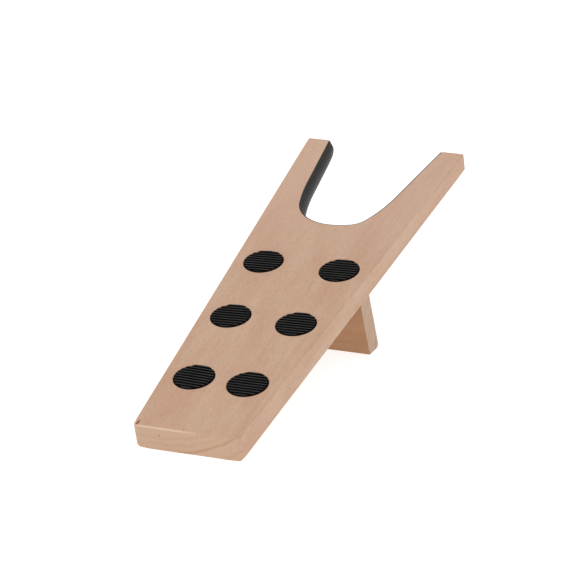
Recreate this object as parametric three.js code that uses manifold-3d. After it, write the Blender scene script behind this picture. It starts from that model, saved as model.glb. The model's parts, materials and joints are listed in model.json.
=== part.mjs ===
// Boot jack: a tapered beech board with a rubber-lined heel notch, six round ribbed rubber
// grips let into its top face, and a plank leg that holds the notched end off the floor.
//
// Millimetres, +Z up. The origin is on the floor at the middle of the bounding box. +X runs
// across the board and +Y from the low toe end to the raised fork. The pieces are drawn in
// the board's own frame (top face at z = 0, toe end at y = 0), which is then tilted.

import * as THREE from 'three';
import { mergeVertices } from 'three/addons/utils/BufferGeometryUtils.js';
import Module from 'manifold-3d';

const wasm = await Module();
wasm.setup();

const { degToRad } = THREE.MathUtils;

// ---- Driving dimensions ----

const FIT_GAP = 0.3; // left between neighbouring pieces
const TILT = degToRad(13.1); // of the board's top face

const BOARD_LENGTH = 390;
const TOE_WIDTH = 80;
const FORK_WIDTH = 130;
const TOE_THICKNESS = 19.5;
const FORK_THICKNESS = 14;
const EDGE_EASE = 1; // rounding run along every edge of the wood
const CORNER_RADIUS = 1.4; // of the wood's corners, a little over the edge rounding

// Each side of the notch runs up from the middle of its bottom in arcs, as [radius, slope from
// the notch's axis where the arc ends], and then straight. The left side is the rounder one.
const NOTCH_BOTTOM_Y = 272.1;
const NOTCH_SHIFT_X = -2.1; // of its bottom from the centre line
const NOTCH_LEFT_ARCS = [[34.5, degToRad(14.8)], [187, degToRad(6)]];
const NOTCH_RIGHT_ARCS = [[51.5, degToRad(71.7)], [18.3, degToRad(25.3)], [125, degToRad(9.2)]];

// The lining is a strip with a crowned face, nearly as tall as the wood is thick.
const LINING_MARGIN = 0.4; // of its long edges from the board's faces
const LINING_TOP_THICKNESS = 0.7;
const LINING_BOTTOM_THICKNESS = 1.4;
const LINING_CROWN = 2.6; // extra thickness at the crown
const LINING_CROWN_LOWNESS = 1.45; // 1 puts the crown at mid height, more puts it lower
const LINING_SET_BACK = 1; // of its ends from the fork's end face
const LINING_TOP_CORNER = 1.5;
const LINING_BOTTOM_CORNER = 5.5;

const DISC_DIAMETER = 30;
const DISC_THICKNESS = 3.2;
const DISC_PROUD = 0.8; // of the rib tops above the wood
const DISC_ROWS_Y = [63, 141, 214];
const DISC_EDGE_INSET = 23.4; // from a disc's middle to the board's side edge
const RIB_PITCH = 3;
const RIB_WIDTH = 1.8;
const RIB_HEIGHT = 0.8;

const LEG_WIDTH = 100;
const LEG_THICKNESS = 17;
const LEG_FRONT_Y = 201; // where its front face meets the underside
const LEG_LEAN = degToRad(6.3); // from the board's normal, towards the fork
const LEG_HEEL_RADIUS = 3; // rear edge of the sole

const SCREW_LENGTH = 40;
const SCREW_SHANK_DIAMETER = 4;
const SCREW_HEAD_DIAMETER = 8;
const SCREW_HEAD_RIM = 0.4; // straight edge above the countersink cone
const SCREW_HEAD_HEIGHT = 2.6;
const SCREW_POINT_LENGTH = 4;
const SCREW_Y = 211;
const RECESS_WIDTH = 1.1; // of each arm of the cross recess
const RECESS_SPAN = 4.4;
const RECESS_DEPTH = 1.6;

const CIRCLE_STEPS = 48; // round a grip or its pocket
const SCREW_STEPS = 24;
const EASE_STEPS = 3;
const CORNER_STEPS = 4;
const NOTCH_CHORD_ERROR = 0.04; // of the notch's facets from its true arcs
const CROWN_STEPS = 7;
const MERGE_TOLERANCE = 1e-4;
const OVERCUT = 1; // of cutting bodies past the surface they open

// ---- Materials ----

const beech = new THREE.MeshStandardMaterial({ color: 0xccaa8f, roughness: 0.6, metalness: 0 });
const legBeech = new THREE.MeshStandardMaterial({ color: 0xc6a184, roughness: 0.65, metalness: 0 });
const gripRubber = new THREE.MeshStandardMaterial({ color: 0x1d1e20, roughness: 0.75, metalness: 0 });
const liningRubber = new THREE.MeshStandardMaterial({ color: 0x33353a, roughness: 0.7, metalness: 0 });
const screwSteel = new THREE.MeshStandardMaterial({ color: 0xb9b7b0, roughness: 0.35, metalness: 1 });

// ---- Values worked out from the driving dimensions ----

const boardHalfWidth = (y) => TOE_WIDTH / 2 + ((FORK_WIDTH - TOE_WIDTH) / 2) * (y / BOARD_LENGTH);
const boardThickness = (y) => TOE_THICKNESS + (FORK_THICKNESS - TOE_THICKNESS) * (y / BOARD_LENGTH);
const undersideZ = (y) => -boardThickness(y);

// The floor touches the eased lower edge of the toe, and slopes by the tilt in this frame.
const toeEdge = { y: EDGE_EASE, z: undersideZ(0) + EDGE_EASE };
const floorZ = (y) => toeEdge.z - EDGE_EASE / Math.cos(TILT) - (y - toeEdge.y) * Math.tan(TILT);

// ---- Geometry helpers ----

function toManifold(geometry) {
  const bare = geometry.clone();
  bare.deleteAttribute('normal');
  bare.deleteAttribute('uv');
  const merged = mergeVertices(bare, MERGE_TOLERANCE);
  return new wasm.Manifold(new wasm.Mesh({
    numProp: 3,
    vertProperties: Float32Array.from(merged.attributes.position.array),
    triVerts: Uint32Array.from(merged.index.array),
  }));
}

function toGeometry(solid) {
  const mesh = solid.getMesh();
  const geometry = new THREE.BufferGeometry();
  geometry.setAttribute('position', new THREE.BufferAttribute(mesh.vertProperties, 3));
  geometry.setIndex(new THREE.BufferAttribute(mesh.triVerts, 1));
  geometry.computeVertexNormals();
  return geometry;
}

// The points of a corner rounded to a radius, from the edge before it to the edge after it.
function roundedCorner(before, corner, after, radius) {
  const toBefore = before.clone().sub(corner).normalize();
  const toAfter = after.clone().sub(corner).normalize();
  const halfAngle = Math.acos(toBefore.dot(toAfter)) / 2;
  const middle = toBefore.clone().add(toAfter).normalize();
  const centre = corner.clone().addScaledVector(middle, radius / Math.sin(halfAngle));
  const start = corner.clone().addScaledVector(toBefore, radius / Math.tan(halfAngle)).sub(centre);
  const end = corner.clone().addScaledVector(toAfter, radius / Math.tan(halfAngle)).sub(centre);
  const turn = Math.atan2(start.x * end.y - start.y * end.x, start.dot(end));
  return Array.from({ length: CORNER_STEPS + 1 }, (_, i) => start.clone()
    .rotateAround(new THREE.Vector2(), (turn * i) / CORNER_STEPS)
    .add(centre));
}

// A closed outline through corners given as [x, y, radius], where radius 0 stays sharp.
function roundedOutline(corners) {
  const points = corners.map(([x, y]) => new THREE.Vector2(x, y));
  const count = points.length;
  return corners.flatMap(([, , radius], i) => (radius === 0
    ? [points[i]]
    : roundedCorner(points[(i + count - 1) % count], points[i], points[(i + 1) % count], radius)));
}

// A profile drawn as (y, z) and extruded across the board, centred on x = 0.
function extrudeAcross(points, width, ease) {
  const geometry = new THREE.ExtrudeGeometry(new THREE.Shape(points), {
    depth: width - 2 * ease,
    bevelEnabled: ease > 0,
    bevelSize: ease,
    bevelOffset: -ease,
    bevelThickness: ease,
    bevelSegments: EASE_STEPS,
  });
  const axes = new THREE.Matrix4().makeBasis(
    new THREE.Vector3(0, 1, 0),
    new THREE.Vector3(0, 0, 1),
    new THREE.Vector3(1, 0, 0),
  );
  return geometry.translate(0, 0, ease - width / 2).applyMatrix4(axes);
}

// A body turned round the z axis, from [radius, z] pairs that start and end on the axis.
function turned(profile) {
  const points = profile.map(([radius, z]) => new THREE.Vector2(radius, z));
  return new THREE.LatheGeometry(points, SCREW_STEPS).rotateX(Math.PI / 2);
}

function disc(radius, bottomZ, topZ) {
  return new THREE.CylinderGeometry(radius, radius, topZ - bottomZ, CIRCLE_STEPS)
    .rotateX(Math.PI / 2)
    .translate(0, 0, (topZ + bottomZ) / 2);
}

// A closed body from rows of points that run side by side and close on the first row, with a
// flat cap across the rows' first points and another across their last points.
function lofted(rows) {
  const rowCount = rows.length;
  const length = rows[0].length;
  const corners = [];
  const quad = (a, b, c, d) => corners.push(a, b, c, a, c, d);
  rows.forEach((row, i) => {
    const next = rows[(i + 1) % rowCount];
    for (let j = 0; j < length - 1; j += 1) quad(row[j], row[j + 1], next[j + 1], next[j]);
  });
  for (let i = 1; i < rowCount - 1; i += 1) {
    corners.push(rows[0][0], rows[i][0], rows[i + 1][0]);
    corners.push(rows[0][length - 1], rows[i + 1][length - 1], rows[i][length - 1]);
  }
  return new THREE.BufferGeometry().setFromPoints(corners);
}

// ---- Notch ----

// One side of the notch's edge, moved into the notch by inset, from the first point after the
// middle of its bottom to the line at y = endY. It is worked out as if on the right.
function notchSide(arcs, inset, endY) {
  const centre = new THREE.Vector2(0, NOTCH_BOTTOM_Y);
  const points = [];
  let from = Math.PI / 2;
  let lastRadius = 0;
  for (const [radius, to] of arcs) {
    const outward = (angle) => new THREE.Vector2(Math.cos(angle), -Math.sin(angle));
    centre.addScaledVector(outward(from), lastRadius - radius);
    const steps = Math.ceil((from - to) / (2 * Math.acos(1 - NOTCH_CHORD_ERROR / radius)));
    for (let i = 1; i <= steps; i += 1) {
      const direction = outward(from + ((to - from) * i) / steps);
      points.push(centre.clone().addScaledVector(direction, radius - inset));
    }
    from = to;
    lastRadius = radius;
  }
  const { x, y } = points[points.length - 1];
  points.push(new THREE.Vector2(x + (endY - y) * Math.tan(from), endY));
  return points;
}

// The notch's edge moved into the notch by inset, from its left end at y = endY round the
// bottom to its right end.
function notchCurve(inset, endY) {
  const leftSide = notchSide(NOTCH_LEFT_ARCS, inset, endY).reverse();
  return [
    ...leftSide.map(({ x, y }) => new THREE.Vector2(-x, y)),
    new THREE.Vector2(0, NOTCH_BOTTOM_Y + inset),
    ...notchSide(NOTCH_RIGHT_ARCS, inset, endY),
  ].map(({ x, y }) => new THREE.Vector2(x + NOTCH_SHIFT_X, y));
}

// ---- Board ----

function boardOutline() {
  const notch = notchCurve(0, BOARD_LENGTH).reverse().map(({ x, y }) => [x, y, 0]);
  const [rightTip, leftTip] = [notch[0], notch[notch.length - 1]];
  rightTip[2] = CORNER_RADIUS;
  leftTip[2] = CORNER_RADIUS;
  return roundedOutline([
    [-TOE_WIDTH / 2, 0, CORNER_RADIUS],
    [TOE_WIDTH / 2, 0, CORNER_RADIUS],
    [FORK_WIDTH / 2, BOARD_LENGTH, CORNER_RADIUS],
    ...notch,
    [-FORK_WIDTH / 2, BOARD_LENGTH, CORNER_RADIUS],
  ]);
}

// The blank is extruded at the toe's thickness, then its lower face is sloped up.
function boardBlank() {
  const geometry = new THREE.ExtrudeGeometry(new THREE.Shape(boardOutline()), {
    depth: TOE_THICKNESS - 2 * EDGE_EASE,
    bevelEnabled: true,
    bevelSize: EDGE_EASE,
    bevelOffset: -EDGE_EASE,
    bevelThickness: EDGE_EASE,
    bevelSegments: EASE_STEPS,
  }).translate(0, 0, EDGE_EASE - TOE_THICKNESS);
  const position = geometry.attributes.position;
  for (let i = 0; i < position.count; i += 1) {
    if (position.getZ(i) < -TOE_THICKNESS / 2) {
      position.setZ(i, position.getZ(i) + TOE_THICKNESS - boardThickness(position.getY(i)));
    }
  }
  return geometry;
}

const discBottomZ = DISC_PROUD - DISC_THICKNESS;
const pocketFloorZ = discBottomZ - FIT_GAP;
const screwTopZ = pocketFloorZ - FIT_GAP;
const discX = (y) => boardHalfWidth(y) - DISC_EDGE_INSET;
const screwX = discX(DISC_ROWS_Y[DISC_ROWS_Y.length - 1]);

const discPlaces = DISC_ROWS_Y.flatMap((y, row) => [
  { name: `grip_disc_${['toe', 'middle', 'fork'][row]}_left`, x: -discX(y), y },
  { name: `grip_disc_${['toe', 'middle', 'fork'][row]}_right`, x: discX(y), y },
]);
const screwPlaces = [
  { name: 'leg_screw_left', x: -screwX },
  { name: 'leg_screw_right', x: screwX },
];

// A screw's outline with its head's top at z = 0, grown by room and carried on up to topZ.
function screwProfile(room, topZ) {
  const shankRadius = SCREW_SHANK_DIAMETER / 2 + room;
  const headRadius = SCREW_HEAD_DIAMETER / 2 + room;
  return [
    [0, -SCREW_LENGTH - room],
    [shankRadius, SCREW_POINT_LENGTH - SCREW_LENGTH],
    [shankRadius, -SCREW_HEAD_HEIGHT],
    [headRadius, -SCREW_HEAD_RIM],
    [headRadius, topZ],
    [0, topZ],
  ];
}

function withoutScrewHoles(solid) {
  const hole = toManifold(turned(screwProfile(FIT_GAP, OVERCUT)));
  return screwPlaces.reduce(
    (left, { x }) => left.subtract(hole.translate([x, SCREW_Y, screwTopZ])),
    solid,
  );
}

function makeBoard() {
  let solid = toManifold(boardBlank());
  const pocket = toManifold(disc(DISC_DIAMETER / 2 + FIT_GAP, pocketFloorZ, OVERCUT));
  for (const { x, y } of discPlaces) solid = solid.subtract(pocket.translate([x, y, 0]));
  return toGeometry(withoutScrewHoles(solid));
}

// ---- Leg ----

function makeLeg() {
  const backY = LEG_FRONT_Y + LEG_THICKNESS / Math.cos(LEG_LEAN);
  // Where a face starting at the underside at y and leaning by the lean meets the floor.
  const foot = (y) => {
    const start = undersideZ(y) - FIT_GAP;
    const drop = (start - floorZ(y)) / (1 - Math.tan(LEG_LEAN) * Math.tan(TILT));
    return [y + drop * Math.tan(LEG_LEAN), start - drop];
  };
  const top = (y) => [y, undersideZ(y) - FIT_GAP, 0];
  const profile = roundedOutline([
    top(LEG_FRONT_Y),
    [...foot(LEG_FRONT_Y), CORNER_RADIUS],
    [...foot(backY), LEG_HEEL_RADIUS],
    top(backY),
  ]);
  return toGeometry(withoutScrewHoles(toManifold(extrudeAcross(profile, LEG_WIDTH, EDGE_EASE))));
}

// ---- Notch lining ----

// The strip is lofted round the notch from a section of [inset, height fraction] pairs, a
// little too tall, and then trimmed to height and rounded at its ends.
function makeLining() {
  const overrun = 0.1; // of the section above and below the finished strip, as a fraction
  const faceInset = (height) => FIT_GAP
    + THREE.MathUtils.lerp(LINING_TOP_THICKNESS, LINING_BOTTOM_THICKNESS, height)
    + LINING_CROWN * Math.sin(Math.PI * height ** LINING_CROWN_LOWNESS);
  const section = [
    [FIT_GAP, -overrun],
    [faceInset(0), -overrun],
    ...Array.from({ length: CROWN_STEPS + 1 }, (_, i) => i / CROWN_STEPS)
      .map((height) => [faceInset(height), height]),
    [faceInset(1), 1 + overrun],
    [FIT_GAP, 1 + overrun],
  ];
  const stripZ = (y, height) => -LINING_MARGIN - height * (boardThickness(y) - 2 * LINING_MARGIN);
  const rows = section.map(([inset, height]) => notchCurve(inset, BOARD_LENGTH + FIT_GAP)
    .map(({ x, y }) => new THREE.Vector3(x, y, stripZ(y, height))));

  const startY = NOTCH_BOTTOM_Y - OVERCUT;
  const endY = BOARD_LENGTH - LINING_SET_BACK;
  const trim = extrudeAcross(roundedOutline([
    [startY, stripZ(startY, 0), 0],
    [startY, stripZ(startY, 1), 0],
    [endY, stripZ(endY, 1), LINING_BOTTOM_CORNER],
    [endY, stripZ(endY, 0), LINING_TOP_CORNER],
  ]), FORK_WIDTH, 0);
  return toGeometry(toManifold(lofted(rows)).intersect(toManifold(trim)));
}

// ---- Grip discs ----

function makeGripDisc() {
  const radius = DISC_DIAMETER / 2;
  const groovesPerSide = Math.ceil(radius / RIB_PITCH);
  const groove = toManifold(new THREE.BoxGeometry(
    DISC_DIAMETER + OVERCUT,
    RIB_PITCH - RIB_WIDTH,
    2 * RIB_HEIGHT,
  ));
  let solid = toManifold(disc(radius, discBottomZ, DISC_PROUD));
  for (let i = -groovesPerSide; i <= groovesPerSide; i += 1) {
    solid = solid.subtract(groove.translate([0, i * RIB_PITCH, DISC_PROUD]));
  }
  return toGeometry(solid);
}

// ---- Leg screws ----

function makeScrew() {
  const body = toManifold(turned(screwProfile(0, 0)));
  const arm = toManifold(new THREE.BoxGeometry(RECESS_SPAN, RECESS_WIDTH, 2 * RECESS_DEPTH));
  const crossArm = toManifold(new THREE.BoxGeometry(RECESS_WIDTH, RECESS_SPAN, 2 * RECESS_DEPTH));
  return toGeometry(body.subtract(arm.add(crossArm)));
}

// ---- Assembly ----

function addPiece(parent, name, geometry, material, x = 0, y = 0, z = 0) {
  const mesh = new THREE.Mesh(geometry, material);
  mesh.name = name;
  mesh.position.set(x, y, z);
  parent.add(mesh);
}

const boardFrame = new THREE.Group();
addPiece(boardFrame, 'board', makeBoard(), beech);
addPiece(boardFrame, 'support_leg', makeLeg(), legBeech);
addPiece(boardFrame, 'notch_lining', makeLining(), liningRubber);
for (const { name, x, y } of discPlaces) {
  addPiece(boardFrame, name, makeGripDisc(), gripRubber, x, y);
}
for (const { name, x } of screwPlaces) {
  addPiece(boardFrame, name, makeScrew(), screwSteel, x, SCREW_Y, screwTopZ);
}
boardFrame.rotation.x = TILT;

const bootJack = new THREE.Group();
bootJack.add(boardFrame);

// Stand the jack on z = 0 with the middle of its bounding box over the origin.
const bounds = new THREE.Box3().setFromObject(bootJack, true);
boardFrame.position.set(0, -(bounds.min.y + bounds.max.y) / 2, -bounds.min.z);

export default bootJack;
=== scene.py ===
"""The looks of a boot jack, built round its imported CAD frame. Metres, +Z up.

A tapered beech board with a rubber-lined heel notch, six round ribbed rubber grips and a
plank leg held by two countersunk screws. Pieces are drawn in the board's own frame (top face
at z = 0, toe end at y = 0, +Y towards the fork) and then moved into the row frame.
"""

import json
import math

import bpy
from mathutils import Matrix, Vector, noise


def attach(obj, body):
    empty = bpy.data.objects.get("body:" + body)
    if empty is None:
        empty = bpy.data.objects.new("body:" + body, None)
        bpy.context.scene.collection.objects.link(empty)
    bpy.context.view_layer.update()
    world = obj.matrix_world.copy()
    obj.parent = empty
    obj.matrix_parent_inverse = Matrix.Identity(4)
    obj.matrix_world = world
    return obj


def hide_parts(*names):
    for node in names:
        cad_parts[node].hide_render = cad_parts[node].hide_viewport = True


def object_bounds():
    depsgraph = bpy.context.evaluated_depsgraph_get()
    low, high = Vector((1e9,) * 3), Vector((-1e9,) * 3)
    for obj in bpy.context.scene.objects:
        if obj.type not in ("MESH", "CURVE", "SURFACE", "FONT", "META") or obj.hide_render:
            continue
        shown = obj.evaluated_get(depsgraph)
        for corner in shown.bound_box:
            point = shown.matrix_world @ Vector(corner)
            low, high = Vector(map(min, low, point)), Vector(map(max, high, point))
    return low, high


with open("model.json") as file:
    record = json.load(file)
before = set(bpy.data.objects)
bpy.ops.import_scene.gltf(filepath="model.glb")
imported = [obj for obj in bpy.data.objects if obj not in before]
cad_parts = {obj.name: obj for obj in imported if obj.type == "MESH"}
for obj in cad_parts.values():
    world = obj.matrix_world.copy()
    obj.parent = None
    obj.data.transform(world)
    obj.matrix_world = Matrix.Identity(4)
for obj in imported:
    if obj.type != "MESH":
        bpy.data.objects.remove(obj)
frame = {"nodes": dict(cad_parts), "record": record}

MM = 0.001
cad_low, cad_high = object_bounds()

# ---- Driving values, in metres ----

STANDING_FACE_Y = 0.250  # of the standing face's mount point, from the toe end

TOE_WIDTH = 0.080
FORK_THICKNESS = 0.014
CORNER_RADIUS = 1.4 * MM  # of the wood's corners, seen from above
TOE_LEFT_RADIUS = 3.2 * MM  # of the toe's worn left corner
TOE_RIGHT_RADIUS = 2.2 * MM
OUTLINE_STEP = 6 * MM  # into which long straight stretches of an outline are cut

EDGE_EASE = 0.75 * MM  # of the wood's sanded edges
END_EASE = 1.2 * MM  # of the edges at the board's two ends
END_REACH = 6 * MM  # from an end to where its own rounding begins
END_BLEND = 5 * MM  # over which it takes over
NOTCH_EASE = 0.4 * MM  # of the notch's edges, which the lining keeps crisp
NOTCH_BELOW = 5 * MM  # from the notch's bottom, within which an outline point may be its own
NOTCH_INSIDE = 8 * MM  # from the board's outer edge, by which it has to be
EASE_UNEVENNESS = 0.15  # of hand sanding
EASE_PATCH = 0.03  # over which the sanding varies
EASE_LIMIT = 0.95  # of a corner's radius
TOE_WEAR = 0.35  # extra rounding along the toe's upper edge, more of it at the left
TOE_WEAR_REACH = 4 * MM
WORN_CORNER_REACH = 7 * MM
WORN_CORNER_SHARE = 0.9  # of the extra radius of the toe's corners

NOTCH_BOTTOM_Y = 0.2721
NOTCH_SHIFT_X = -2.1 * MM  # of its bottom from the centre line
# Each side's arcs from the bottom's middle: (radius, slope from the notch's axis at the end).
NOTCH_LEFT_ARCS = ((34.5 * MM, math.radians(14.8)), (187 * MM, math.radians(6)))
NOTCH_RIGHT_ARCS = (
    (51.5 * MM, math.radians(71.7)),
    (18.3 * MM, math.radians(25.3)),
    (125 * MM, math.radians(9.2)),
)
NOTCH_ARC_STEP = math.radians(0.8)

LINING_GAP = 0.2 * MM  # to the notch's wall, filled by the glue line's shadow
LINING_TOP_THICKNESS = 0.85 * MM
LINING_BOTTOM_THICKNESS = 1.4 * MM
LINING_CROWN = 2.6 * MM
LINING_CROWN_LOWNESS = 1.45  # 1 puts the crown at mid height, more puts it lower
LINING_MARGIN = 0.25 * MM  # of the strip's edges from the top face and the underside
LINING_SET_BACK = 0.4 * MM  # of its ends from the fork's end face
LINING_TOP_CORNER = 0.8 * MM
LINING_BOTTOM_CORNER = 5.5 * MM
LINING_EDGE_REACH = 0.8 * MM  # over which the strip's long edges thin out
LINING_END_REACH = 1.2 * MM  # over which its ends are rounded off
LINING_END_FULLNESS = 0.25  # of its thickness there
LINING_TAPER_REACH = 22 * MM  # over which it thins towards its ends
LINING_TAPER_FULLNESS = 0.6
LINING_SECTION_STEPS = 20
LINING_FINE_STEP = 0.15 * MM  # between cross-sections near the ends
LINING_COARSE_STEP = 0.25 * MM  # and elsewhere
LINING_FINE_REACH = 4 * MM
LINING_RIB_PITCH = 1.5 * MM
LINING_RIB_DEPTH = 0.13 * MM

# Each grip's rib phase, as a share of the pitch, and its turn in degrees, as glued in.
GRIP_SETTINGS = {
    "grip_disc_toe_left": (0.61, -2),
    "grip_disc_toe_right": (0.52, 0.5),
    "grip_disc_middle_left": (0.60, 4),
    "grip_disc_middle_right": (0.49, 2.5),
    "grip_disc_fork_left": (0.77, 4),
    "grip_disc_fork_right": (0.68, 3),
}
POCKET_GAP = 0.15 * MM  # round a grip
POCKET_RIM = 0.25 * MM  # bevel where a pocket meets the top face
POCKET_STEPS = 96
CUT_OVERRUN = 1 * MM  # of a cutter past the surface it opens
RIB_PITCH = 3 * MM
RIB_WIDTH = 2.1 * MM
RIB_HEIGHT = 0.75 * MM
RIB_SQUARENESS = 2.6  # 2 is a round rib, more is squarer
GRIP_RIM = 0.75 * MM  # width of the bevel round a grip's face
GRIP_RIM_DROP = 0.55 * MM
GRIP_ROWS = 260  # of faces across a grip's ribs
GRIP_COLUMNS = 16  # of faces along them

LEG_WIDTH = 0.100
LEG_THICKNESS = 0.017
LEG_FRONT_Y = 0.201
LEG_LEAN = math.radians(6.3)
LEG_HEEL_RADIUS = 3 * MM
LEG_TOP_RADIUS = 0.3 * MM
LEG_EASE = 0.85 * EDGE_EASE
LEG_UNEVENNESS = 0.3
LEG_PATCH = 0.02  # over which the leg's sanding varies
LEG_OTHER_SIDE = 0.07  # between the two sides' samples of that variation
LEG_GAP = 0.05 * MM  # under the board
FLOOR_CLEARANCE = 0.05 * MM  # of the leg's sole

SCREW_CORE_RADIUS = 1.45 * MM
SCREW_HEAD_HEIGHT = 2.6 * MM
SCREW_HEAD_RIM = 0.4 * MM
SCREW_POINT = 4 * MM
THREAD_PITCH = 1.8 * MM
THREAD_RADIUS = 2 * MM
RECESS_WIDTH = 1.1 * MM
RECESS_SPAN = 4.4 * MM
RECESS_DEPTH = 1.6 * MM
RECESS_FLOOR = 0.35  # of the recess's span, at its bottom
SCREW_CLEARANCE = 0.25 * MM
SCREW_BEVEL = 0.1 * MM  # of the head's edges
SCREW_TIP_RADIUS = 0.12 * MM
SCREW_TIP_GAP = 0.15 * MM  # by which the tip is blunted
SCREW_STEPS = 32
SCREW_HOLE_STEPS = 48
THREAD_ROWS = 10  # of faces in each turn of the thread

CAMERA_AZIMUTH = math.radians(23.787)
CAMERA_ELEVATION = math.radians(20.693)
CAMERA_ROLL = math.radians(1.77)
CAMERA_DISTANCE = 2.3672
CAMERA_LENS = 200.13
CAMERA_AIM = Vector((-1.9, -0.5, 0.9)) * MM  # from the middle of the CAD box

FLOOR_HALF = 15  # half the floor's side
FLOOR_DROP = 0.1 * MM  # below the row frame's zero
FLOOR_TONE = 0.5
FLOOR_GLOW = 0.78
SKY_GLOW = 0.77


# ---- The board's own frame ----


def board_placing():
    """The matrix from the board's own frame to the row frame, from the standing face's mount."""
    mount = next(m for m in frame["record"]["mounts"] if m["name"] == "standing_face")
    tilt = math.atan2(-mount["axis"][1], mount["axis"][2])
    turn = Matrix.Rotation(tilt, 4, "X")
    origin = Vector(mount["pos_m"]) - turn @ Vector((0, STANDING_FACE_Y, 0))
    return Matrix.Translation(origin) @ turn


PLACING = board_placing()
TO_BOARD = PLACING.inverted()


def board_box(node):
    """Lowest and highest corners of a CAD node in the board's own frame."""
    points = [TO_BOARD @ v.co for v in frame["nodes"][node].data.vertices]
    low = Vector([min(p[axis] for p in points) for axis in range(3)])
    high = Vector([max(p[axis] for p in points) for axis in range(3)])
    return low, high


board_low, board_high = board_box("board")
BOARD_LENGTH = board_high.y
FORK_WIDTH = board_high.x - board_low.x
TOE_THICKNESS = -board_low.z


def board_thickness(y):
    return TOE_THICKNESS + (FORK_THICKNESS - TOE_THICKNESS) * y / BOARD_LENGTH


def floor_z(y):
    """Height of the floor in the board's frame, at a distance y from the toe end."""
    up = TO_BOARD.to_3x3() @ Vector((0, 0, 1))
    ground = TO_BOARD @ Vector((0, 0, FLOOR_CLEARANCE))
    return ground.z - (y - ground.y) * up.y / up.z


def grain_frame():
    """An empty that carries the board's own frame, from which materials read their places."""
    empty = bpy.data.objects.new("grain_frame", None)
    bpy.context.scene.collection.objects.link(empty)
    empty.matrix_world = PLACING
    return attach(empty, "root")


GRAIN_FRAME = grain_frame()


# ---- Outlines: lists of (point, outward normal) ----


def outward(direction):
    """The right-hand normal of a direction of travel, which points out of the wood."""
    return Vector((direction.y, -direction.x)).normalized()


def rounded_corner(before, corner, after, radius, steps=6):
    first = outward(corner - before)
    second = outward(after - corner)
    centre = corner - (first + second) * (radius / (1 + first.dot(second)))
    shares = [i / steps for i in range(steps + 1)]
    normals = [(first * (1 - share) + second * share).normalized() for share in shares]
    return [(centre + normal * radius, normal) for normal in normals]


def notch_arc(centre, radius, start, end):
    """An arc of the notch's right side past its start, by angle below +X, facing the notch."""
    steps = math.ceil((start - end) / NOTCH_ARC_STEP)
    angles = [start + (end - start) * i / steps for i in range(1, steps + 1)]
    directions = [Vector((math.cos(angle), -math.sin(angle))) for angle in angles]
    return [(centre + direction * radius, -direction) for direction in directions]


def notch_side(arcs, end_y):
    """A side of the notch from its bottom's middle to the line at end_y, as if on the right."""
    centre = Vector((0, NOTCH_BOTTOM_Y))
    start, last_radius = math.pi / 2, 0
    side = []
    for radius, end in arcs:
        centre = centre + Vector((math.cos(start), -math.sin(start))) * (last_radius - radius)
        side += notch_arc(centre, radius, start, end)
        start, last_radius = end, radius
    return side + [straight_to(side[-1], end_y)]


def notch_wall(end_y):
    """The notch's wall from its right end at end_y, round the bottom, to its left end."""
    right = notch_side(NOTCH_RIGHT_ARCS, end_y)
    left = notch_side(NOTCH_LEFT_ARCS, end_y)
    middle = (Vector((0, NOTCH_BOTTOM_Y)), Vector((0, 1)))
    mirrored = [(Vector((-p.x, p.y)), Vector((-n.x, n.y))) for p, n in left]
    shift = Vector((NOTCH_SHIFT_X, 0))
    return [(point + shift, normal) for point, normal in right[::-1] + [middle] + mirrored]


def straight_to(end, y):
    """The end of a straight side that runs on from an arc's end to the line at y."""
    point, normal = end
    along = Vector((-normal.y, normal.x))
    return point + along * ((y - point.y) / along.y), normal


def subdivided(outline, step):
    """The closed outline with its long straight stretches cut into steps."""
    made = []
    for i, (point, normal) in enumerate(outline):
        after, after_normal = outline[(i + 1) % len(outline)]
        count = max(1, round((after - point).length / step))
        for j in range(count):
            share = j / count
            mixed = (normal * (1 - share) + after_normal * share).normalized()
            made.append((point.lerp(after, share), mixed))
    return made


def board_outline():
    toe_left, toe_right = Vector((-TOE_WIDTH / 2, 0)), Vector((TOE_WIDTH / 2, 0))
    fork_left = Vector((-FORK_WIDTH / 2, BOARD_LENGTH))
    fork_right = Vector((FORK_WIDTH / 2, BOARD_LENGTH))
    wall = notch_wall(BOARD_LENGTH)
    (tip_right, _), (next_right, _) = wall[:2]
    (next_left, _), (tip_left, _) = wall[-2:]
    outline = rounded_corner(fork_left, toe_left, toe_right, TOE_LEFT_RADIUS)
    outline += rounded_corner(toe_left, toe_right, fork_right, TOE_RIGHT_RADIUS)
    outline += rounded_corner(toe_right, fork_right, tip_right, CORNER_RADIUS)
    outline += rounded_corner(fork_right, tip_right, next_right, CORNER_RADIUS)
    outline += wall[1:-1]
    outline += rounded_corner(next_left, tip_left, fork_left, CORNER_RADIUS)
    outline += rounded_corner(tip_left, fork_left, toe_left, CORNER_RADIUS)
    return subdivided(outline, OUTLINE_STEP)


# ---- Meshes ----


def new_object(name, vertices, faces, placing=PLACING):
    mesh = bpy.data.meshes.new(name)
    mesh.from_pydata([tuple(v) for v in vertices], [], faces)
    mesh.validate()
    piece = bpy.data.objects.new(name, mesh)
    bpy.context.scene.collection.objects.link(piece)
    piece.matrix_world = placing
    return piece


def skin(rings):
    """Vertices and faces of a closed skin over rings of equal length, with a cap at each end."""
    count = len(rings[0])
    vertices = [point for ring in rings for point in ring]
    faces = [tuple(reversed(range(count)))]
    for row in range(len(rings) - 1):
        start = row * count
        for i in range(count):
            j = (i + 1) % count
            faces.append((start + i, start + j, start + count + j, start + count + i))
    faces.append(tuple(range(len(vertices) - count, len(vertices))))
    return vertices, faces


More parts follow.
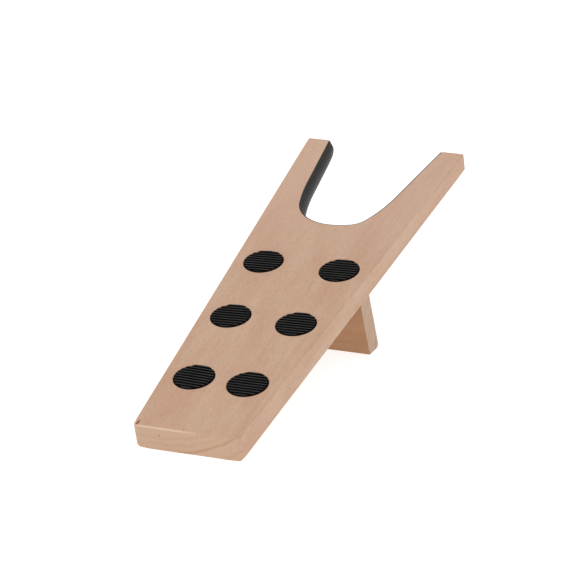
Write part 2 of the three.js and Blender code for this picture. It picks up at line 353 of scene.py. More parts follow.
def eased_slab(outline, depth, ease, steps=6):
    """Rings of a slab from z = -depth to 0, its edges rounded by ease(point, upper)."""
    lower, upper = [], []
    for i in range(steps + 1):
        angle = math.pi / 2 * i / steps
        inset, drop = 1 - math.cos(angle), 1 - math.sin(angle)
        low_ring, high_ring = [], []
        for point, normal in outline:
            low, high = ease(point, False), ease(point, True)
            low_point = point - normal * (low * inset)
            high_point = point - normal * (high * inset)
            low_ring.append(Vector((*low_point, low * drop - depth)))
            high_ring.append(Vector((*high_point, -high * drop)))
        lower.insert(0, low_ring)
        upper.append(high_ring)
    return lower + upper


def turned(profile, steps):
    """Vertices and faces of a body turned round z, from (radius, z) pairs off the axis."""
    rings = []
    for radius, z in profile:
        angles = [2 * math.pi * i / steps for i in range(steps)]
        rings.append([Vector((radius * math.cos(a), radius * math.sin(a), z)) for a in angles])
    return skin(rings)


def carve(piece, cutters):
    """Cuts each cutter out of the piece for good, and removes the cutters."""
    for cutter in cutters:
        cut = piece.modifiers.new("cut", "BOOLEAN")
        cut.operation = "DIFFERENCE"
        cut.solver = "EXACT"
        cut.object = cutter
    graph = bpy.context.evaluated_depsgraph_get()
    mesh = bpy.data.meshes.new_from_object(piece.evaluated_get(graph))
    piece.modifiers.clear()
    piece.data = mesh
    for cutter in cutters:
        bpy.data.objects.remove(cutter)


def soften(piece, degrees=32):
    """Smooth shading that keeps flat faces flat and edges over the angle sharp."""
    piece.data.shade_smooth()
    piece.data.set_sharp_from_angle(angle=math.radians(degrees))
    weighted = piece.modifiers.new("weighted_normals", "WEIGHTED_NORMAL")
    weighted.keep_sharp = True


# ---- Board ----


def board_ease(point, upper):
    """Hand-sanded rounding: heavier at the ends and the toe's left, crisp in the notch."""
    uneven = 1 + EASE_UNEVENNESS * noise.noise(Vector((point.x, point.y, 0)) / EASE_PATCH)
    from_end = min(point.y, BOARD_LENGTH - point.y)
    at_end = quarter_round(END_REACH - from_end, END_BLEND)
    usual = NOTCH_EASE if in_notch(point) else EDGE_EASE
    ease = (usual + (END_EASE - usual) * at_end) * uneven
    if upper and point.y < TOE_WEAR_REACH:
        ease *= 1 + TOE_WEAR * (0.5 - point.x / TOE_WIDTH)
    ease = min(ease, EASE_LIMIT * CORNER_RADIUS)
    return ease if upper else ease + worn_corner(point)


def worn_corner(point):
    """Extra rounding of the lower edge at the toe's two corners, mostly at the left one."""
    side, radius = (-1, TOE_LEFT_RADIUS) if point.x < 0 else (1, TOE_RIGHT_RADIUS)
    distance = (point - Vector((side * TOE_WIDTH / 2, 0))).length
    near = max(0, 1 - distance / WORN_CORNER_REACH)
    return near * near * (3 - 2 * near) * WORN_CORNER_SHARE * (radius - CORNER_RADIUS)


def in_notch(point):
    """Whether an outline point is on the notch's wall rather than the board's outside."""
    half_width = (TOE_WIDTH + (FORK_WIDTH - TOE_WIDTH) * point.y / BOARD_LENGTH) / 2
    return point.y > NOTCH_BOTTOM_Y - NOTCH_BELOW and abs(point.x) < half_width - NOTCH_INSIDE


def slope_underside(rings):
    for ring in rings:
        for point in ring:
            if point.z < -TOE_THICKNESS / 2:
                point.z += TOE_THICKNESS - board_thickness(point.y)


def round_cutter(x, y, profile, steps):
    vertices, faces = turned(profile, steps)
    return new_object("cutter", vertices, faces, PLACING @ Matrix.Translation((x, y, 0)))


def grip_cutter(node):
    """The round pocket for a grip, with a bevelled rim."""
    low, high = board_box(node)
    radius = (high.x - low.x) / 2 + POCKET_GAP
    return round_cutter((low.x + high.x) / 2, (low.y + high.y) / 2, [
        (radius, low.z - POCKET_GAP),
        (radius, -POCKET_RIM),
        (radius + POCKET_RIM, 0),
        (radius + POCKET_RIM + CUT_OVERRUN, CUT_OVERRUN),
    ], POCKET_STEPS)


def screw_cutter(node):
    """The hole for a screw, through the board and into the leg."""
    place = screw_place(node)
    top, length = place["top"], place["length"]
    head = place["radius"] + SCREW_CLEARANCE
    shank = THREAD_RADIUS + SCREW_CLEARANCE
    return round_cutter(place["x"], place["y"], [
        (SCREW_CLEARANCE, top - length - SCREW_CLEARANCE),
        (shank, top - length + SCREW_POINT),
        (shank, top - SCREW_HEAD_HEIGHT),
        (head, top - SCREW_HEAD_RIM),
        (head, top + 2 * SCREW_CLEARANCE),
    ], SCREW_HOLE_STEPS)


GRIPS = [name for name in sorted(frame["nodes"]) if name.startswith("grip_disc_")]
SCREWS = [name for name in sorted(frame["nodes"]) if name.startswith("leg_screw_")]


def screw_place(node):
    low, high = board_box(node)
    return {
        "x": (low.x + high.x) / 2,
        "y": (low.y + high.y) / 2,
        "radius": (high.x - low.x) / 2,
        "top": high.z,
        "length": high.z - low.z,
    }


def make_board():
    rings = eased_slab(board_outline(), TOE_THICKNESS, board_ease)
    slope_underside(rings)
    board = new_object("beech_board", *skin(rings))
    carve(board, [grip_cutter(node) for node in GRIPS] + [screw_cutter(node) for node in SCREWS])
    soften(board)
    return board


# ---- Leg ----


def leg_outline():
    """The leg's profile as (y, z), from its front top corner round by the sole."""
    underside = [-board_thickness(y) - LEG_GAP for y in (LEG_FRONT_Y, leg_back_y())]
    corners = [Vector((LEG_FRONT_Y, underside[0])), leg_foot(LEG_FRONT_Y), leg_foot(leg_back_y())]
    corners.append(Vector((leg_back_y(), underside[1])))
    radii = [LEG_TOP_RADIUS, CORNER_RADIUS, LEG_HEEL_RADIUS, LEG_TOP_RADIUS]
    outline = []
    for i, radius in enumerate(radii):
        after = corners[(i + 1) % len(corners)]
        outline += rounded_corner(corners[i - 1], corners[i], after, radius, 10)
    return subdivided(outline, OUTLINE_STEP)


def leg_back_y():
    return LEG_FRONT_Y + LEG_THICKNESS / math.cos(LEG_LEAN)


def leg_foot(y):
    """Where a leg face that leaves the underside at y and leans back meets the floor."""
    start = Vector((y, -board_thickness(y) - LEG_GAP))
    lean = math.tan(LEG_LEAN)
    floor_slope = floor_z(y + 1) - floor_z(y)
    drop = (start.y - floor_z(y)) / (1 + lean * floor_slope)
    return start + Vector((drop * lean, -drop))


def leg_ease(point, upper):
    sample = Vector((point.x, point.y, 0 if upper else LEG_OTHER_SIDE)) / LEG_PATCH
    return LEG_EASE * (1 + LEG_UNEVENNESS * noise.noise(sample))


def make_leg():
    rings = eased_slab(leg_outline(), LEG_WIDTH, leg_ease)
    upright = [[Vector((p.z + LEG_WIDTH / 2, p.x, p.y)) for p in ring] for ring in rings]
    leg = new_object("beech_leg", *skin(upright))
    carve(leg, [screw_cutter(node) for node in SCREWS])
    soften(leg)
    return leg


# ---- Lining ----


def resampled(path, spacing):
    """(point, normal, distance) along an open path, where spacing(from the end) is the step."""
    lengths = [0]
    for (point, _), (after, _) in zip(path, path[1:]):
        lengths.append(lengths[-1] + (after - point).length)
    total = lengths[-1]
    stations, distance, i = [], 0, 0
    while distance < total:
        while lengths[i + 1] < distance:
            i += 1
        share = (distance - lengths[i]) / (lengths[i + 1] - lengths[i])
        point = path[i][0].lerp(path[i + 1][0], share)
        normal = (path[i][1] * (1 - share) + path[i + 1][1] * share).normalized()
        stations.append((point, normal, distance))
        distance += spacing(min(distance, total - distance))
    stations.append((*path[-1], total))
    return stations, total


def quarter_round(distance, radius):
    """How full a rounded edge is, from 0 at the edge to 1 from the radius inwards."""
    share = min(1, max(0, distance / radius))
    return math.sqrt(1 - (1 - share) ** 2)


def rising(distance, radius, least):
    """A share that rises from least at an edge to 1 from the radius inwards."""
    return least + (1 - least) * quarter_round(distance, radius)


def corner_drop(distance, radius):
    """How far a corner of this radius cuts in, at a distance from the strip's end."""
    return radius * (1 - quarter_round(distance, radius))


def lining_section(point, normal, distance, total):
    """One closed cross-section of the strip, down its back and up its crowned, ribbed face."""
    steps = LINING_SECTION_STEPS
    from_end = min(distance, total - distance)
    top = -LINING_MARGIN - corner_drop(from_end, LINING_TOP_CORNER)
    bottom = LINING_MARGIN + corner_drop(from_end, LINING_BOTTOM_CORNER) - board_thickness(point.y)
    fullness = rising(from_end, LINING_END_REACH, LINING_END_FULLNESS)
    fullness *= rising(from_end, LINING_TAPER_REACH, LINING_TAPER_FULLNESS)
    rib = LINING_RIB_DEPTH * math.cos(2 * math.pi * distance / LINING_RIB_PITCH)
    section = [(LINING_GAP, top + (bottom - top) * i / steps) for i in range(steps + 1)]
    for i in range(steps + 1):
        share = 0.5 + 0.5 * math.cos(math.pi * i / steps)
        edge = quarter_round(min(share, 1 - share) * (top - bottom), LINING_EDGE_REACH)
        base = LINING_TOP_THICKNESS + (LINING_BOTTOM_THICKNESS - LINING_TOP_THICKNESS) * share
        crown = LINING_CROWN * math.sin(math.pi * share ** LINING_CROWN_LOWNESS)
        face = (base * (0.5 + 0.5 * edge) + crown + rib * edge) * fullness
        section.append((LINING_GAP + face, top + (bottom - top) * share))
    return [Vector((*(point + normal * inset), height)) for inset, height in section]


def lining_step(near):
    """The distance between cross-sections, at a distance from the strip's nearer end."""
    return LINING_FINE_STEP if near < LINING_FINE_REACH else LINING_COARSE_STEP


def make_lining():
    wall = notch_wall(BOARD_LENGTH - LINING_SET_BACK)
    stations, total = resampled(wall, lining_step)
    rings = [lining_section(point, normal, at, total) for point, normal, at in stations]
    lining = new_object("rubber_lining", *skin(rings))
    soften(lining, 50)
    return lining


# ---- Grips ----


def rib_height(y, phase):
    """Height of the ribbed face from the groove floor, across the ribs."""
    across = (y / RIB_PITCH + phase + 0.5) % 1 - 0.5
    share = min(1, abs(across) * RIB_PITCH * 2 / RIB_WIDTH)
    return RIB_HEIGHT * (1 - share ** RIB_SQUARENESS)


def grip_face(inner, floor, phase):
    """The ribbed face in rows across the ribs: vertices, faces and the rim's indices."""
    angles = [math.pi * (i / GRIP_ROWS - 0.5) for i in range(1, GRIP_ROWS)]
    vertices, faces = [], []
    for angle in angles:
        y, reach = inner * math.sin(angle), inner * math.cos(angle)
        for i in range(GRIP_COLUMNS + 1):
            x = reach * (2 * i / GRIP_COLUMNS - 1)
            vertices.append(Vector((x, y, floor + rib_height(y, phase))))
    width = GRIP_COLUMNS + 1
    starts = range(0, len(vertices), width)
    for start in starts[:-1]:
        for i in range(start, start + GRIP_COLUMNS):
            faces.append((i, i + 1, i + width + 1, i + width))
    near, far = len(vertices), len(vertices) + 1
    vertices.append(Vector((0, -inner, floor + rib_height(-inner, phase))))
    vertices.append(Vector((0, inner, floor + rib_height(inner, phase))))
    for i in range(GRIP_COLUMNS):
        faces.append((near, i + 1, i))
        faces.append((starts[-1] + i, starts[-1] + i + 1, far))
    rim = [near] + [start + GRIP_COLUMNS for start in starts] + [far] + list(reversed(starts))
    return vertices, faces, rim


def close_grip(vertices, faces, rim, widening):
    """Adds the bevel round the ribbed face, the side and the flat base."""
    first, count = len(vertices), len(rim)
    edge = [vertices[i] for i in rim]
    vertices += [Vector((v.x * widening, v.y * widening, v.z - GRIP_RIM_DROP)) for v in edge]
    vertices += [Vector((v.x * widening, v.y * widening, 0)) for v in edge]
    loops = [rim, range(first, first + count), range(first + count, first + 2 * count)]
    for upper, lower in zip(loops, loops[1:]):
        for i in range(count):
            j = (i + 1) % count
            faces.append((upper[i], lower[i], lower[j], upper[j]))
    faces.append(tuple(reversed(loops[2])))


def make_grip(node, phase, turn):
    low, high = board_box(node)
    radius = (high.x - low.x) / 2
    inner = radius - GRIP_RIM
    vertices, faces, rim = grip_face(inner, high.z - low.z - RIB_HEIGHT, phase)
    close_grip(vertices, faces, rim, radius / inner)
    centre = Vector(((low.x + high.x) / 2, (low.y + high.y) / 2, low.z))
    placing = PLACING @ Matrix.Translation(centre) @ Matrix.Rotation(turn, 4, "Z")
    grip = new_object(node.replace("grip_disc", "rubber_grip"), vertices, faces, placing)
    soften(grip, 40)
    return grip


# ---- Screws ----


def thread_radius(z, angle, shank_end, point_start):
    """Radius of a screw's threaded shank at a height below the head and an angle."""
    turn = (z / THREAD_PITCH + angle / (2 * math.pi)) % 1
    crest = max(0, 1 - abs(turn - 0.5) * 4)
    fade = min(1, max(0, (shank_end - z) / THREAD_PITCH))
    taper = min(1, (z - point_start + SCREW_POINT) / SCREW_POINT)
    return taper * (SCREW_CORE_RADIUS + (THREAD_RADIUS - SCREW_CORE_RADIUS) * crest * fade)


def threaded_rings(length, shank_end, angles):
    """Rings of a screw's shank, from its tip up to where the thread has faded out."""
    tip = SCREW_TIP_GAP - length
    point_start = SCREW_POINT - length
    rows = round((shank_end - tip) / THREAD_PITCH * THREAD_ROWS)
    rings = []
    for row in range(rows + 1):
        z = tip + (shank_end - tip) * row / rows
        radii = [max(SCREW_TIP_RADIUS, thread_radius(z, a, shank_end, point_start)) for a in angles]
        rings.append([Vector((r * math.cos(a), r * math.sin(a), z)) for r, a in zip(radii, angles)])
    return rings


def make_screw(node):
    place = screw_place(node)
    head = place["radius"]
    angles = [2 * math.pi * i / SCREW_STEPS for i in range(SCREW_STEPS)]
    rings = threaded_rings(place["length"], -2 * SCREW_HEAD_HEIGHT, angles)
    for radius, z in [
        (SCREW_CORE_RADIUS, -SCREW_HEAD_HEIGHT),
        (head - SCREW_BEVEL, -SCREW_HEAD_RIM - SCREW_BEVEL),
        (head, -SCREW_HEAD_RIM),
        (head, -SCREW_BEVEL),
        (head - SCREW_BEVEL, 0),
    ]:
        rings.append([Vector((radius * math.cos(a), radius * math.sin(a), z)) for a in angles])
    placing = PLACING @ Matrix.Translation((place["x"], place["y"], place["top"]))
    screw = new_object(node.replace("leg_screw", "wood_screw"), *skin(rings), placing)
    carve(screw, [recess_cutter(placing, turn) for turn in (0, math.pi / 2)])
    soften(screw)
    return screw


def recess_cutter(placing, turn):
    """A wedge-ended slot, one arm of the cross recess."""
    outline = [(1, 1), (-1, 1), (-1, -1), (1, -1)]
    rings = []
    for share, z in ((RECESS_FLOOR, -RECESS_DEPTH), (1, 0), (1, CUT_OVERRUN)):
        corners = [(x * share * RECESS_SPAN / 2, y * RECESS_WIDTH / 2, z) for x, y in outline]
        rings.append([Vector(corner) for corner in corners])
    return new_object("cutter", *skin(rings), placing @ Matrix.Rotation(turn, 4, "Z"))


# ---- Material nodes ----


def srgb(red, green, blue):
    """A linear colour from 8-bit screen values."""
    def linear(value):
        share = value / 255
        return share / 12.92 if share <= 0.04045 else ((share + 0.055) / 1.055) ** 2.4
    return (linear(red), linear(green), linear(blue), 1)


class Shader:
    """One node material, wired by short calls that return output sockets."""

    def __init__(self, name):
        self.material = bpy.data.materials.new(name)
        self.material.use_nodes = True
        self.tree = self.material.node_tree
        self.surface = self.tree.nodes["Principled BSDF"]

    def feed(self, socket, value):
        if isinstance(value, bpy.types.NodeSocket):
            self.tree.links.new(value, socket)
        else:
            socket.default_value = value

    def node(self, kind, inputs, **settings):
        made = self.tree.nodes.new(kind)
        for key, value in settings.items():
            setattr(made, key, value)
        for key, value in inputs.items():
            self.feed(made.inputs[key], value)
        return made

    def place(self):
        """Where a point is in the board's own frame, in millimetres."""
        found = self.node("ShaderNodeTexCoord", {}, object=GRAIN_FRAME).outputs["Object"]
        return self.scaled(found, 1 / MM)

    def towards(self, axis):
        """How squarely the surface faces an axis of the board's own frame, -1 to 1."""
        normal = self.node("ShaderNodeTexCoord", {}).outputs["Normal"]
        inputs = {0: normal, 1: PLACING.to_3x3() @ Vector(axis).normalized()}
        return self.node("ShaderNodeVectorMath", inputs, operation="DOT_PRODUCT").outputs["Value"]

    def facing(self, axis):
        """How squarely the surface faces either way along an axis, 0 to 1."""
        return self.math("ABSOLUTE", self.towards(axis))

    def math(self, operation, first, second=0.0, clamp=False):
        inputs = {0: first, 1: second}
        return self.node("ShaderNodeMath", inputs, operation=operation, use_clamp=clamp).outputs[0]

    def vector(self, operation, first, second):
        inputs = {0: first, 1: second}
        return self.node("ShaderNodeVectorMath", inputs, operation=operation).outputs["Vector"]

    def scaled(self, vector, factor):
        inputs = {"Vector": vector, "Scale": factor}
        return self.node("ShaderNodeVectorMath", inputs, operation="SCALE").outputs["Vector"]

    def length(self, vector):
        return self.node("ShaderNodeVectorMath", {0: vector}, operation="LENGTH").outputs["Value"]

    def parts(self, vector):
        return self.node("ShaderNodeSeparateXYZ", {0: vector}).outputs

    def joined(self, x, y, z):
        return self.node("ShaderNodeCombineXYZ", {"X": x, "Y": y, "Z": z}).outputs[0]

    def noise(self, vector, detail=2.0, roughness=0.5, output="Fac"):
        inputs = {"Vector": vector, "Scale": 1.0, "Detail": detail, "Roughness": roughness}
        return self.node("ShaderNodeTexNoise", inputs).outputs[output]

    def range(self, value, low, high, to_low=0.0, to_high=1.0, smooth=True):
        inputs = {0: value, 1: low, 2: high, 3: to_low, 4: to_high}
        kind = "SMOOTHSTEP" if smooth else "LINEAR"
        made = self.node("ShaderNodeMapRange", inputs, interpolation_type=kind)
        return made.outputs[0]

    def mix(self, factor, first, second, blend="MIX"):
        made = self.node("ShaderNodeMix", {0: factor}, data_type="RGBA", blend_type=blend)
        self.feed(made.inputs[6], first)
        self.feed(made.inputs[7], second)
        return made.outputs[2]

    def bump(self, height, distance, strength=1.0):
        inputs = {"Height": height, "Distance": distance, "Strength": strength}
        return self.node("ShaderNodeBump", inputs).outputs[0]


def stretched(shader, vector, across, along, depth):
    """A vector in millimetres scaled so that one texture cell has these three sizes."""
    return shader.vector("MULTIPLY", vector, (1 / across, 1 / along, 1 / depth))


# ---- Beech ----

RING_WIDTH = 5.2  # of a year's growth, in millimetres
RING_WANDER = 1.7  # by how many years a ring wanders
RAY_RADIUS = 100.0  # where the rays have their true width, in millimetres from the pith
GRAIN_DRIFT = 9.0  # by how many millimetres the grain wanders
BOARD_PITH = (-22.5, 0, 83)  # the middle of the trunk, in grain space millimetres
LEG_PITH = (262, 0, -92)
DARK_YEAR = 102.7  # the radius of the ring that crosses the toe's end, in millimetres
DARK_WAVE = 1.6  # by how much that ring ripples, in millimetres

# The wood's noises: a cell's size in millimetres across, along and through the grain, the
# detail and the roughness.
WOOD_NOISES = {
    "drift": ((70, 260, 70), 1.0, 0.4),
    "wander": ((22, 190, 22), 3.0, 0.6),
    "ripple": ((7, 60, 7), 2.0, 0.5),
    "ring_patches": ((9, 60, 9), 1.0, 0.5),
    "ray_patches": ((6, 14, 30), 1.0, 0.5),
    "clouds": ((26, 80, 26), 2.0, 0.5),
    "patches": ((9, 70, 9), 2.0, 0.5),
    "dapple": ((1.6, 4.5, 1.6), 3.0, 0.65),
    "mottle": ((1.5, 30, 1.5), 3.0, 0.6),
    "fibres": ((0.7, 26, 0.7), 4.0, 0.62),
    "pores": ((0.22, 3.2, 0.22), 2.0, 0.6),
    "speck": ((0.5, 6.0, 0.5), 3.0, 0.7),
}
RAY_CELL = (0.85, 3.0, 16)
# Marks laid over the wood's tone in turn: the noise, the levels between which it fades in, its
# strength and the tone that it brings.
WOOD_MARKS = (
    ("patches", 0.45, 0.75, 0.38, "gold"),
    ("dapple", 0.4, 0.7, 0.2, "late"),
    ("mottle", 0.42, 0.75, 0.12, "late"),
)
FAR_FROM, FAR_TO = 190, 340  # millimetres from the toe, between which the top turns paler
FAR_STRENGTH = 0.38
HIGHLIGHT_FROM, HIGHLIGHT_TO = 14.0, -6.0  # millimetres across the toe, between which its painted highlight comes in
HIGHLIGHT_STRENGTH = 0.6
RAY_STRENGTH = 0.3
END_TONE_STRENGTH = 0.85
END_RING_STRENGTH = 0.34
DARK_RING_STRENGTH = 0.7
SIDE_SHADE = 0.95  # of the board's long side faces: painted shade darkening them by which way they face

BEECH_FLECK = srgb(150, 104, 76)
BEECH_STAIN = srgb(138, 78, 48)
# The colour of the painted highlight on the toe's upper rounding.
BEECH_HIGHLIGHT = srgb(232, 202, 178)
# Figure is how strongly the late wood shows, and far is the top face's tone by the fork.
BOARD_TONES = {
    "pale": srgb(209, 175, 149),
    "pink": srgb(203, 163, 138),
    "gold": srgb(198, 159, 124),
    "late": srgb(168, 122, 88),
    "end": srgb(187, 157, 132),
    "figure": 0.16,
    "far": srgb(218, 185, 164),
}
# The leg's pale, pink, gold and late tones are darker than the board's: painted shade for its faces
# under the board. Its end tone is its end grain's own.
LEG_SHADED_TONES = {
    "pale": srgb(171, 131, 98),
    "pink": srgb(163, 121, 88),
    "gold": srgb(162, 118, 80),
    "late": srgb(150, 104, 70),
    "end": srgb(190, 162, 138),
    "figure": 0.42,
}

# Stains at the toe: the middle and the size in the board's millimetres, and the strength.
TOE_STAINS = (
    ((-37.2, 3.0, 0), (1.4, 4.6, 1.2), 0.9),
    ((-20.5, 0, -6.4), (1.0, 0.8, 0.9), 0.8),
    ((-2.2, 2.4, 0), (0.5, 3.2, 0.7), 0.4),
)


def wood_noise(shader, vector, kind, output="Fac"):
    cell, detail, roughness = WOOD_NOISES[kind]
    return shader.noise(stretched(shader, vector, *cell), detail, roughness, output)


def grain_space(shader, along_x):
    """Places in millimetres with the grain along Y: straight, and with the grain's drift."""
    x, y, z = shader.parts(shader.place())
    straight = shader.joined(y, x, z) if along_x else shader.joined(x, y, z)
    drift = wood_noise(shader, straight, "drift", "Color")
    centred = shader.vector("SUBTRACT", drift, (0.5, 0.5, 0.5))
    return straight, shader.vector("ADD", straight, shader.scaled(centred, GRAIN_DRIFT))


def growth_rings(shader, grain, pith):
    """How much late wood a point is in, its place along the rays, and its radius."""
    across, along, depth = shader.parts(shader.vector("SUBTRACT", grain, pith))
    radius = shader.length(shader.joined(across, 0.0, depth))
    angle = shader.math("ARCTAN2", depth, across)
    wander = shader.math("SUBTRACT", wood_noise(shader, grain, "wander"), 0.5)
    drift = shader.math("MULTIPLY", wander, RING_WANDER)
    years = shader.math("ADD", shader.math("DIVIDE", radius, RING_WIDTH), drift)
    share = shader.math("FRACT", years)
    late = shader.math("MULTIPLY", shader.range(share, 0.3, 0.93), shader.range(share, 1.0, 0.9))
    each = shader.noise(shader.joined(shader.math("FLOOR", years), 0.37, 0.61), 0.0)
    strength = shader.range(each, 0.35, 0.8, 0.05, 0.8)
    ray_space = shader.joined(shader.math("MULTIPLY", angle, RAY_RADIUS), along, radius)
    return shader.math("MULTIPLY", late, strength), ray_space, radius


def dark_ring(shader, grain, radius, at):
    """1 along one strongly marked ring at this radius in millimetres, fading in and out."""
    ripple = shader.math("MULTIPLY", wood_noise(shader, grain, "ripple"), DARK_WAVE)
    offset = shader.math("ADD", radius, ripple)
    near = shader.math("ABSOLUTE", shader.math("SUBTRACT", offset, at + DARK_WAVE / 2))
    patchy = wood_noise(shader, grain, "ring_patches")
    line = shader.range(near, 0.95, 0.15)
    return shader.math("MULTIPLY", line, shader.range(patchy, 0.25, 0.6, 0.4, 1.0))


def ray_flecks(shader, ray_space):
    """Beech's short dark rays: dashes on a flat-sawn face, flakes where the cut is radial."""
    cells = stretched(shader, ray_space, *RAY_CELL)
    inputs = {"Vector": cells, "Scale": 1.0, "Randomness": 1.0}
    distance = shader.node("ShaderNodeTexVoronoi", inputs).outputs["Distance"]
    dashes = shader.range(distance, 0.3, 0.12)
    patchy = wood_noise(shader, ray_space, "ray_patches")
    return shader.math("MULTIPLY", dashes, shader.range(patchy, 0.35, 0.6))


def blemish(shader, straight, centre, size):
    """1 inside a small soft-edged spot in the wood, 0 outside."""
    offset = shader.vector("SUBTRACT", straight, centre)
    reach = shader.length(shader.vector("DIVIDE", offset, size))
    return shader.range(reach, 1.0, 0.45)


def beech_colour(shader, straight, grain, tones, pith, end_grain, dark_year):
    """The wood's own colour before pores and stains, and its ray flecks."""
    late, ray_space, radius = growth_rings(shader, grain, pith)
    clouds = shader.range(wood_noise(shader, grain, "clouds"), 0.32, 0.68)
    colour = shader.mix(clouds, tones["pale"], tones["pink"])
    for kind, low, high, strength, tone in WOOD_MARKS:
        mark = shader.range(wood_noise(shader, grain, kind), low, high, 0.0, strength)
        colour = shader.mix(mark, colour, tones[tone])
    if "far" in tones:
        colour = shader.mix(far_top(shader, straight), colour, tones["far"])
    end_tone = shader.math("MULTIPLY", end_grain, END_TONE_STRENGTH)
    colour = shader.mix(end_tone, colour, tones["end"])
    on_end = shader.math("MULTIPLY", end_grain, END_RING_STRENGTH)
    figure = shader.math("MULTIPLY", late, shader.math("ADD", on_end, tones["figure"]))
    colour = shader.mix(figure, colour, tones["late"])
    if dark_year:
        ring = shader.math("MULTIPLY", dark_ring(shader, grain, radius, dark_year), end_grain)
        ring = shader.math("MULTIPLY", ring, DARK_RING_STRENGTH)
        colour = shader.mix(ring, colour, tones["late"])
    flecks = ray_flecks(shader, ray_space)
    return shader.mix(shader.math("MULTIPLY", flecks, RAY_STRENGTH), colour, BEECH_FLECK), flecks


def far_top(shader, straight):
    """How much paler and pinker the top face is, from mid length to the fork."""
    far = shader.range(shader.parts(straight)[1], FAR_FROM, FAR_TO, 0.0, FAR_STRENGTH)
    return shader.math("MULTIPLY", far, shader.range(shader.facing((0, 0, 1)), 0.5, 0.9))


def painted_toe_highlight(shader, straight):
    """How strongly the toe's upper rounding carries a painted highlight, paler over its left half.
    """
    rounding = shader.range(shader.towards((0, -1, 1)), 0.8, 0.97)
    left = shader.range(shader.parts(straight)[0], HIGHLIGHT_FROM, HIGHLIGHT_TO, 0.0, HIGHLIGHT_STRENGTH)
    return shader.math("MULTIPLY", rounding, left)


def wood_surface(shader, fibres, pores, flecks):
    """Roughness and fine relief of sanded wood."""
    dulled = shader.math("MULTIPLY", flecks, -0.08)
    rough = shader.math("ADD", shader.range(fibres, 0.3, 0.7, 0.5, 0.62), dulled)
    shader.feed(shader.surface.inputs["Roughness"], rough)
    relief = shader.math("MULTIPLY", fibres, 0.6)
    height = shader.math("ADD", relief, shader.math("MULTIPLY", pores, 0.4))
    shader.feed(shader.surface.inputs["Normal"], shader.bump(height, 0.06 * MM, 0.7))
    shader.surface.inputs["IOR"].default_value = 1.45
    shader.surface.inputs["Specular IOR Level"].default_value = 0.35


def beech(name, tones, pith, along_x=False, stains=(), dark_year=None):
    """Planed and sanded beech, with its grain along the board or along X."""
    shader = Shader(name)
    straight, grain = grain_space(shader, along_x)
    end_grain = shader.range(shader.facing((1, 0, 0) if along_x else (0, 1, 0)), 0.5, 0.95)
    colour, flecks = beech_colour(shader, straight, grain, tones, pith, end_grain, dark_year)
    fibres = wood_noise(shader, grain, "fibres")
    pores = wood_noise(shader, grain, "pores")
    speck = wood_noise(shader, grain, "speck")
    colour = shader.mix(shader.range(pores, 0.56, 0.76, 0.0, 0.35), colour, BEECH_FLECK)
    colour = shader.mix(shader.range(speck, 0.56, 0.74, 0.0, 0.22), colour, tones["late"])
    for centre, size, depth in stains:
        spot = blemish(shader, straight, centre, size)
        colour = shader.mix(shader.math("MULTIPLY", spot, depth), colour, BEECH_STAIN)
    value = shader.range(fibres, 0.25, 0.75, 0.97, 1.06, smooth=False)
    if not along_x:
        # Painted highlight along the toe's upper rounding.
        colour = shader.mix(painted_toe_highlight(shader, straight), colour, BEECH_HIGHLIGHT)
        # Painted shade darkening the board's long side faces.
        side = shader.range(shader.facing((1, 0, 0)), 0.5, 0.95, 1.0, SIDE_SHADE)
        value = shader.math("MULTIPLY", value, side)
    toned = shader.node("ShaderNodeHueSaturation", {"Value": value, "Color": colour}).outputs[0]
    shader.feed(shader.surface.inputs["Base Color"], toned)
    wood_surface(shader, fibres, pores, flecks)
    return shader.material


# ---- Rubber ----


# The last entry holds the two heights in the board's millimetres where the rubber is darkest and
# palest, how pale it is at least, and how patchy the bloom is; this paling is painted light and
# shade.
# On the lining, painted shade darkens the top by the wood and a painted reflection pales it lower
# down.
LINING_RUBBER = {
    "dark": srgb(16, 15, 15),
    "sheen_and_wear": srgb(108, 105, 103),
    "roughness": 0.42,
    "shine": 0.4,
    "sheen_and_wear_levels": (-2.0, -14.0, 0.25, 0.25),
}
# On the grips, the paler rib crests are a painted highlight, partly dust and wear.
GRIP_RUBBER = {
    "dark": srgb(5, 5, 6),
    "sheen_and_wear": srgb(60, 59, 58),
    "roughness": 0.55,
    "shine": 0.25,
    "sheen_and_wear_levels": (0.64, 0.8, 0.07, 0.5),
}


def rubber(name, dark, sheen_and_wear, roughness, shine, sheen_and_wear_levels):
    """Moulded rubber, mottled and matt, paler in a patchy bloom between two given heights: painted
    light and shade.
    """
    shader = Shader(name)
    place = shader.place()
    darkest_height, palest_height, least, patchiness = sheen_and_wear_levels
    mottle = shader.noise(stretched(shader, place, 1.1, 1.1, 1.1), 4.0, 0.6)
    speck = shader.noise(stretched(shader, place, 0.16, 0.16, 0.16), 2.0, 0.7)
    scuff = shader.noise(stretched(shader, place, 9, 5, 9), 3.0, 0.6)
    broad = shader.range(scuff, 0.3, 0.7, 1 - patchiness)
    fine = shader.range(mottle, 0.25, 0.7, 1 - patchiness)
    bloom = shader.math("MULTIPLY", broad, fine)
    # Painted light and shade: paler towards one given height, darker towards the other.
    sheen_and_wear_mask = shader.range(shader.parts(place)[2], darkest_height, palest_height, least, 1.0)
    colour = shader.mix(shader.math("MULTIPLY", bloom, sheen_and_wear_mask), dark, sheen_and_wear)
    shader.feed(shader.surface.inputs["Base Color"], colour)
    shader.feed(shader.surface.inputs["Specular IOR Level"], shader.math("MULTIPLY", sheen_and_wear_mask, shine))
    rough = shader.range(mottle, 0.3, 0.7, roughness - 0.07, roughness + 0.07)
    shader.feed(shader.surface.inputs["Roughness"], rough)
    height = shader.math("ADD", shader.math("MULTIPLY", speck, 0.5), mottle)
    shader.feed(shader.surface.inputs["Normal"], shader.bump(height, 0.05 * MM, 0.6))
    shader.surface.inputs["IOR"].default_value = 1.5
    return shader.material


# ---- Steel ----


TURNING_MARKS = 9.0  # in each millimetre


